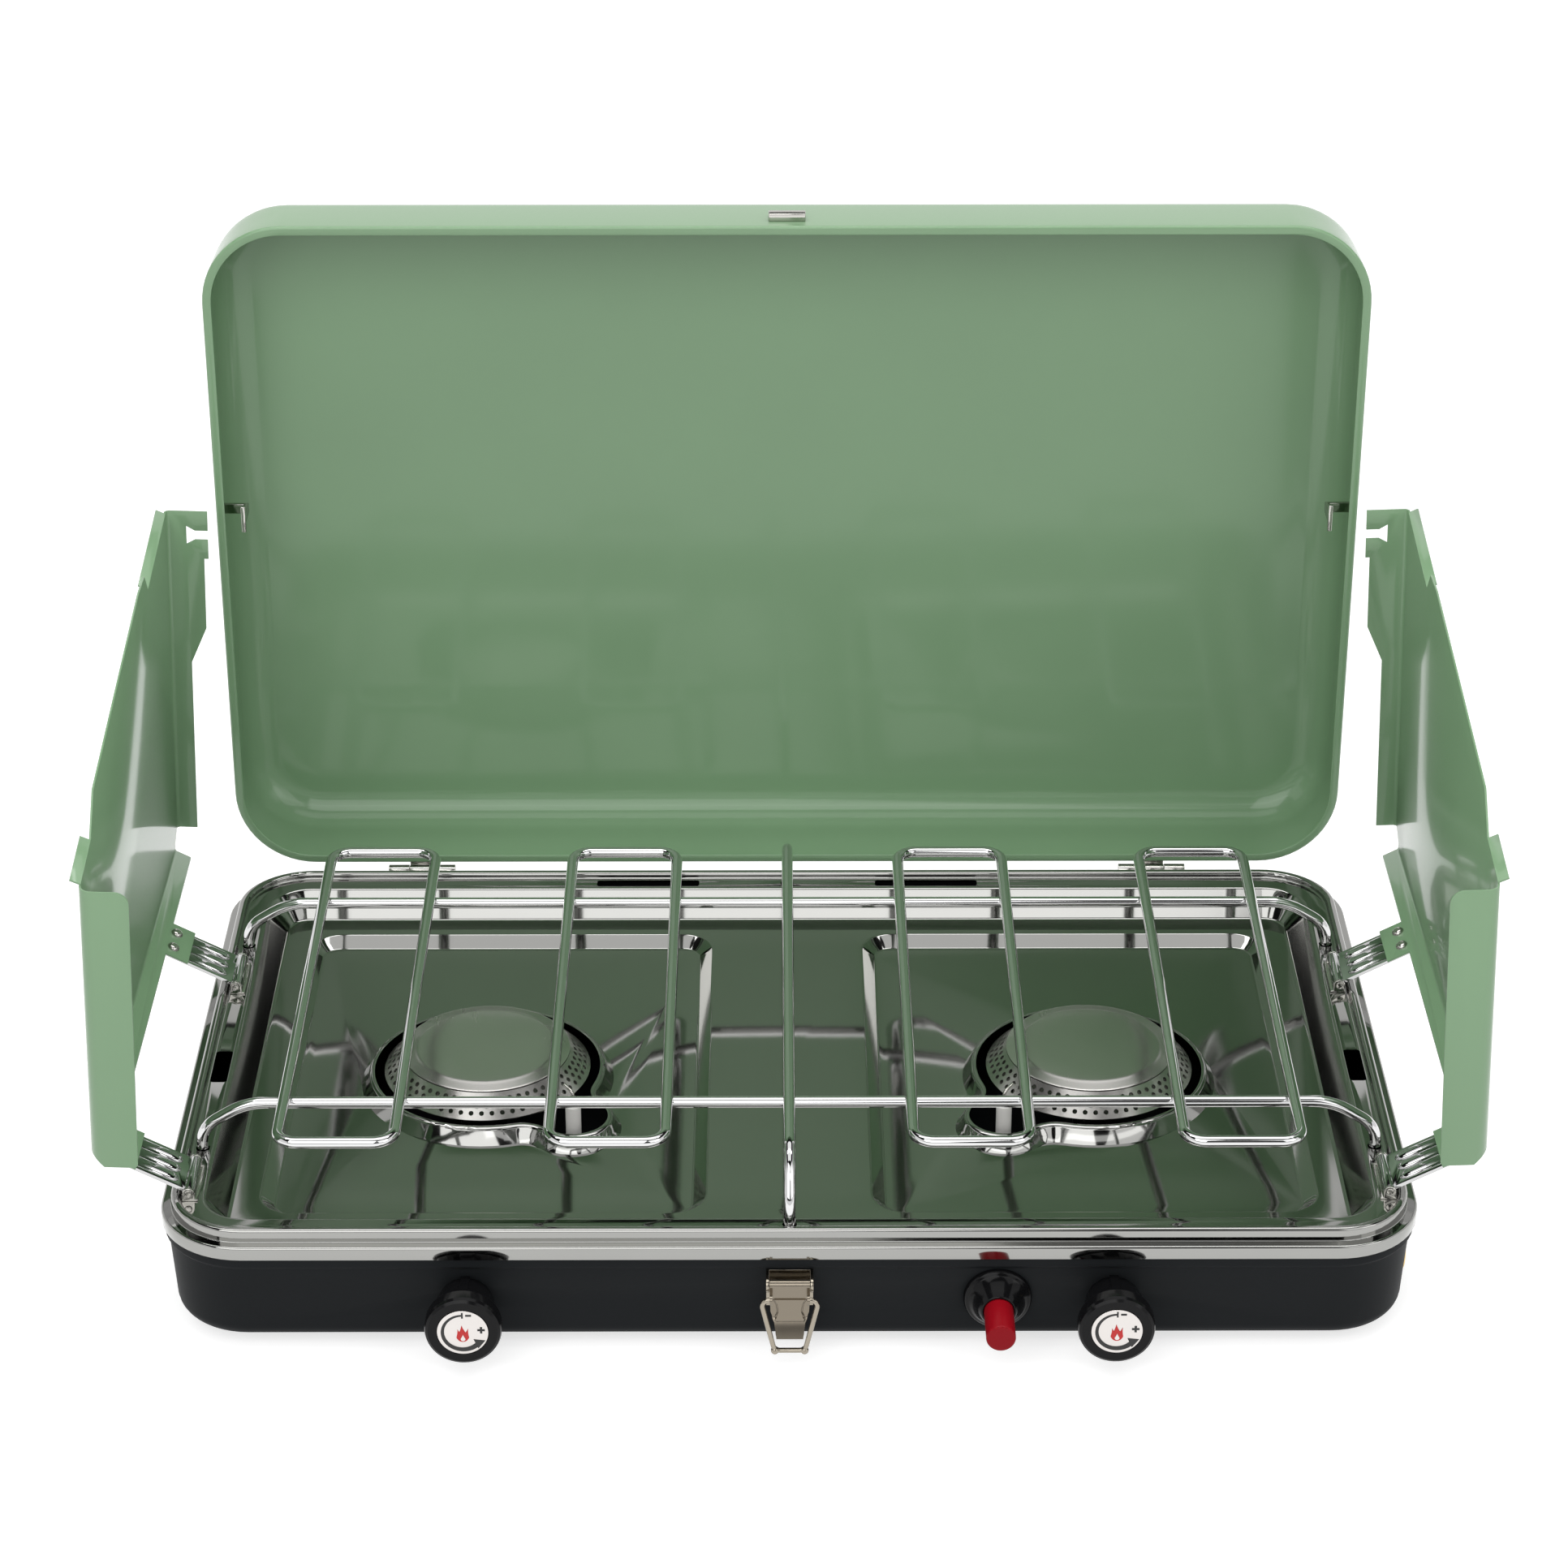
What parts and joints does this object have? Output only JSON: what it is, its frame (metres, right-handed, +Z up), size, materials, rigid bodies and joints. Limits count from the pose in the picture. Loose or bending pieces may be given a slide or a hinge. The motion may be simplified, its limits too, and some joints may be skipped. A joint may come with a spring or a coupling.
{
  "type": "camping stove",
  "caption": "Folding gas camping stove with a hinged lid, fold-up side windscreens, wire grate over ring burners, front knobs, push igniter and a draw latch.",
  "frame": {"origin": "on the ground below the middle of the open stove's outer box", "axes": "+X to the stove's right, +Y from the controls to the lid, +Z up"},
  "size_m": [0.5934, 0.41, 0.3945],
  "materials": {
    "sage_paint": "gloss",
    "housing_paint": "satin",
    "tray_steel": "mirror",
    "bright_wire": "polished",
    "plated_steel": "polished",
    "burner_steel": "satin",
    "brass": "satin",
    "pipe_aluminium": "satin",
    "knob_black": "satin",
    "dial_silver": "brushed",
    "button_red": "gloss",
    "white_ceramic": "glazed",
    "lead_rubber": "matte",
    "foot_rubber": "matte"
  },
  "bodies": {
    "base": {"base_housing": "housing_paint", "cooktop_tray": "tray_steel", "grate_front_wire": "bright_wire", "grate_rear_wire": "bright_wire", "grate_center_wire": "bright_wire", "grate_pan_loops": "bright_wire", "screen_brackets_left": "plated_steel", "screen_brackets_right": "plated_steel", "screen_pins_left": "plated_steel", "screen_pins_right": "plated_steel", "base_hinge_leaf_left": "plated_steel", "base_hinge_leaf_right": "plated_steel", "lid_hinge_pins": "plated_steel", "latch_base": "plated_steel", "latch_pin": "plated_steel", "foot_screws": "plated_steel", "electrode_pin_left": "plated_steel", "electrode_pin_right": "plated_steel", "burner_head_left": "burner_steel", "burner_head_right": "burner_steel", "burner_cap_left": "burner_steel", "burner_cap_right": "burner_steel", "venturi_left": "burner_steel", "venturi_right": "burner_steel", "valve_left": "brass", "valve_right": "brass", "gas_inlet": "brass", "inlet_pipe": "pipe_aluminium", "bridge_pipe": "pipe_aluminium", "igniter_bezel": "knob_black", "igniter_body": "knob_black", "electrode_left": "white_ceramic", "electrode_right": "white_ceramic", "ignition_lead_left": "lead_rubber", "ignition_lead_right": "lead_rubber", "rubber_feet": "foot_rubber"},
    "lid": {"lid_shell": "sage_paint", "lid_hinge_leaf_left": "plated_steel", "lid_hinge_leaf_right": "plated_steel", "lid_catch": "plated_steel", "lid_lugs": "plated_steel"},
    "windscreen_right": {"windscreen_right": "sage_paint", "front_arm_right": "plated_steel", "rear_arm_right": "plated_steel", "screen_rivets_right": "plated_steel"},
    "windscreen_left": {"windscreen_left": "sage_paint", "front_arm_left": "plated_steel", "rear_arm_left": "plated_steel", "screen_rivets_left": "plated_steel"},
    "knob_right": {"knob_right": "knob_black", "knob_dial_right": "dial_silver", "valve_stem_right": "brass"},
    "knob_left": {"knob_left": "knob_black", "knob_dial_left": "dial_silver", "valve_stem_left": "brass"},
    "igniter_button": {"igniter_button": "button_red"},
    "latch_lever": {"latch_lever": "plated_steel"},
    "latch_bail": {"latch_bail": "plated_steel"}
  },
  "joints": [
    {"name": "lid_hinge", "type": "hinge", "parent": "base", "child": "lid", "pos_m": [0, 0.15797, 0.0558], "axis": [1, 0, 0], "range_deg": [0, 81]},
    {"name": "windscreen_right_fold", "type": "hinge", "parent": "base", "child": "windscreen_right", "pos_m": [0.2574, -0.04203, 0.0622], "axis": [0, -1, 0], "range_deg": [0, 90]},
    {"name": "windscreen_left_fold", "type": "hinge", "parent": "base", "child": "windscreen_left", "pos_m": [-0.2574, -0.04203, 0.0622], "axis": [0, 1, 0], "range_deg": [0, 90]},
    {"name": "knob_right_turn", "type": "hinge", "parent": "base", "child": "knob_right", "pos_m": [0.1375, -0.17297, 0.0285], "axis": [0, -1, 0], "range_deg": [0, 240]},
    {"name": "knob_left_turn", "type": "hinge", "parent": "base", "child": "knob_left", "pos_m": [-0.1375, -0.17297, 0.0285], "axis": [0, -1, 0], "range_deg": [0, 240]},
    {"name": "igniter_press", "type": "slide", "parent": "base", "child": "igniter_button", "axis": [0, 1, 0], "range_m": [0, 0.006], "stiffness_N_per_m": 600},
    {"name": "latch_lever_swing", "type": "hinge", "parent": "base", "child": "latch_lever", "pos_m": [0, -0.18132, 0.04], "axis": [-1, 0, 0], "range_deg": [0, 100]},
    {"name": "latch_bail_swing", "type": "hinge", "parent": "latch_lever", "child": "latch_bail", "pos_m": [0, -0.18692, 0.036], "axis": [-1, 0, 0], "range_deg": [0, 75]}
  ]
}
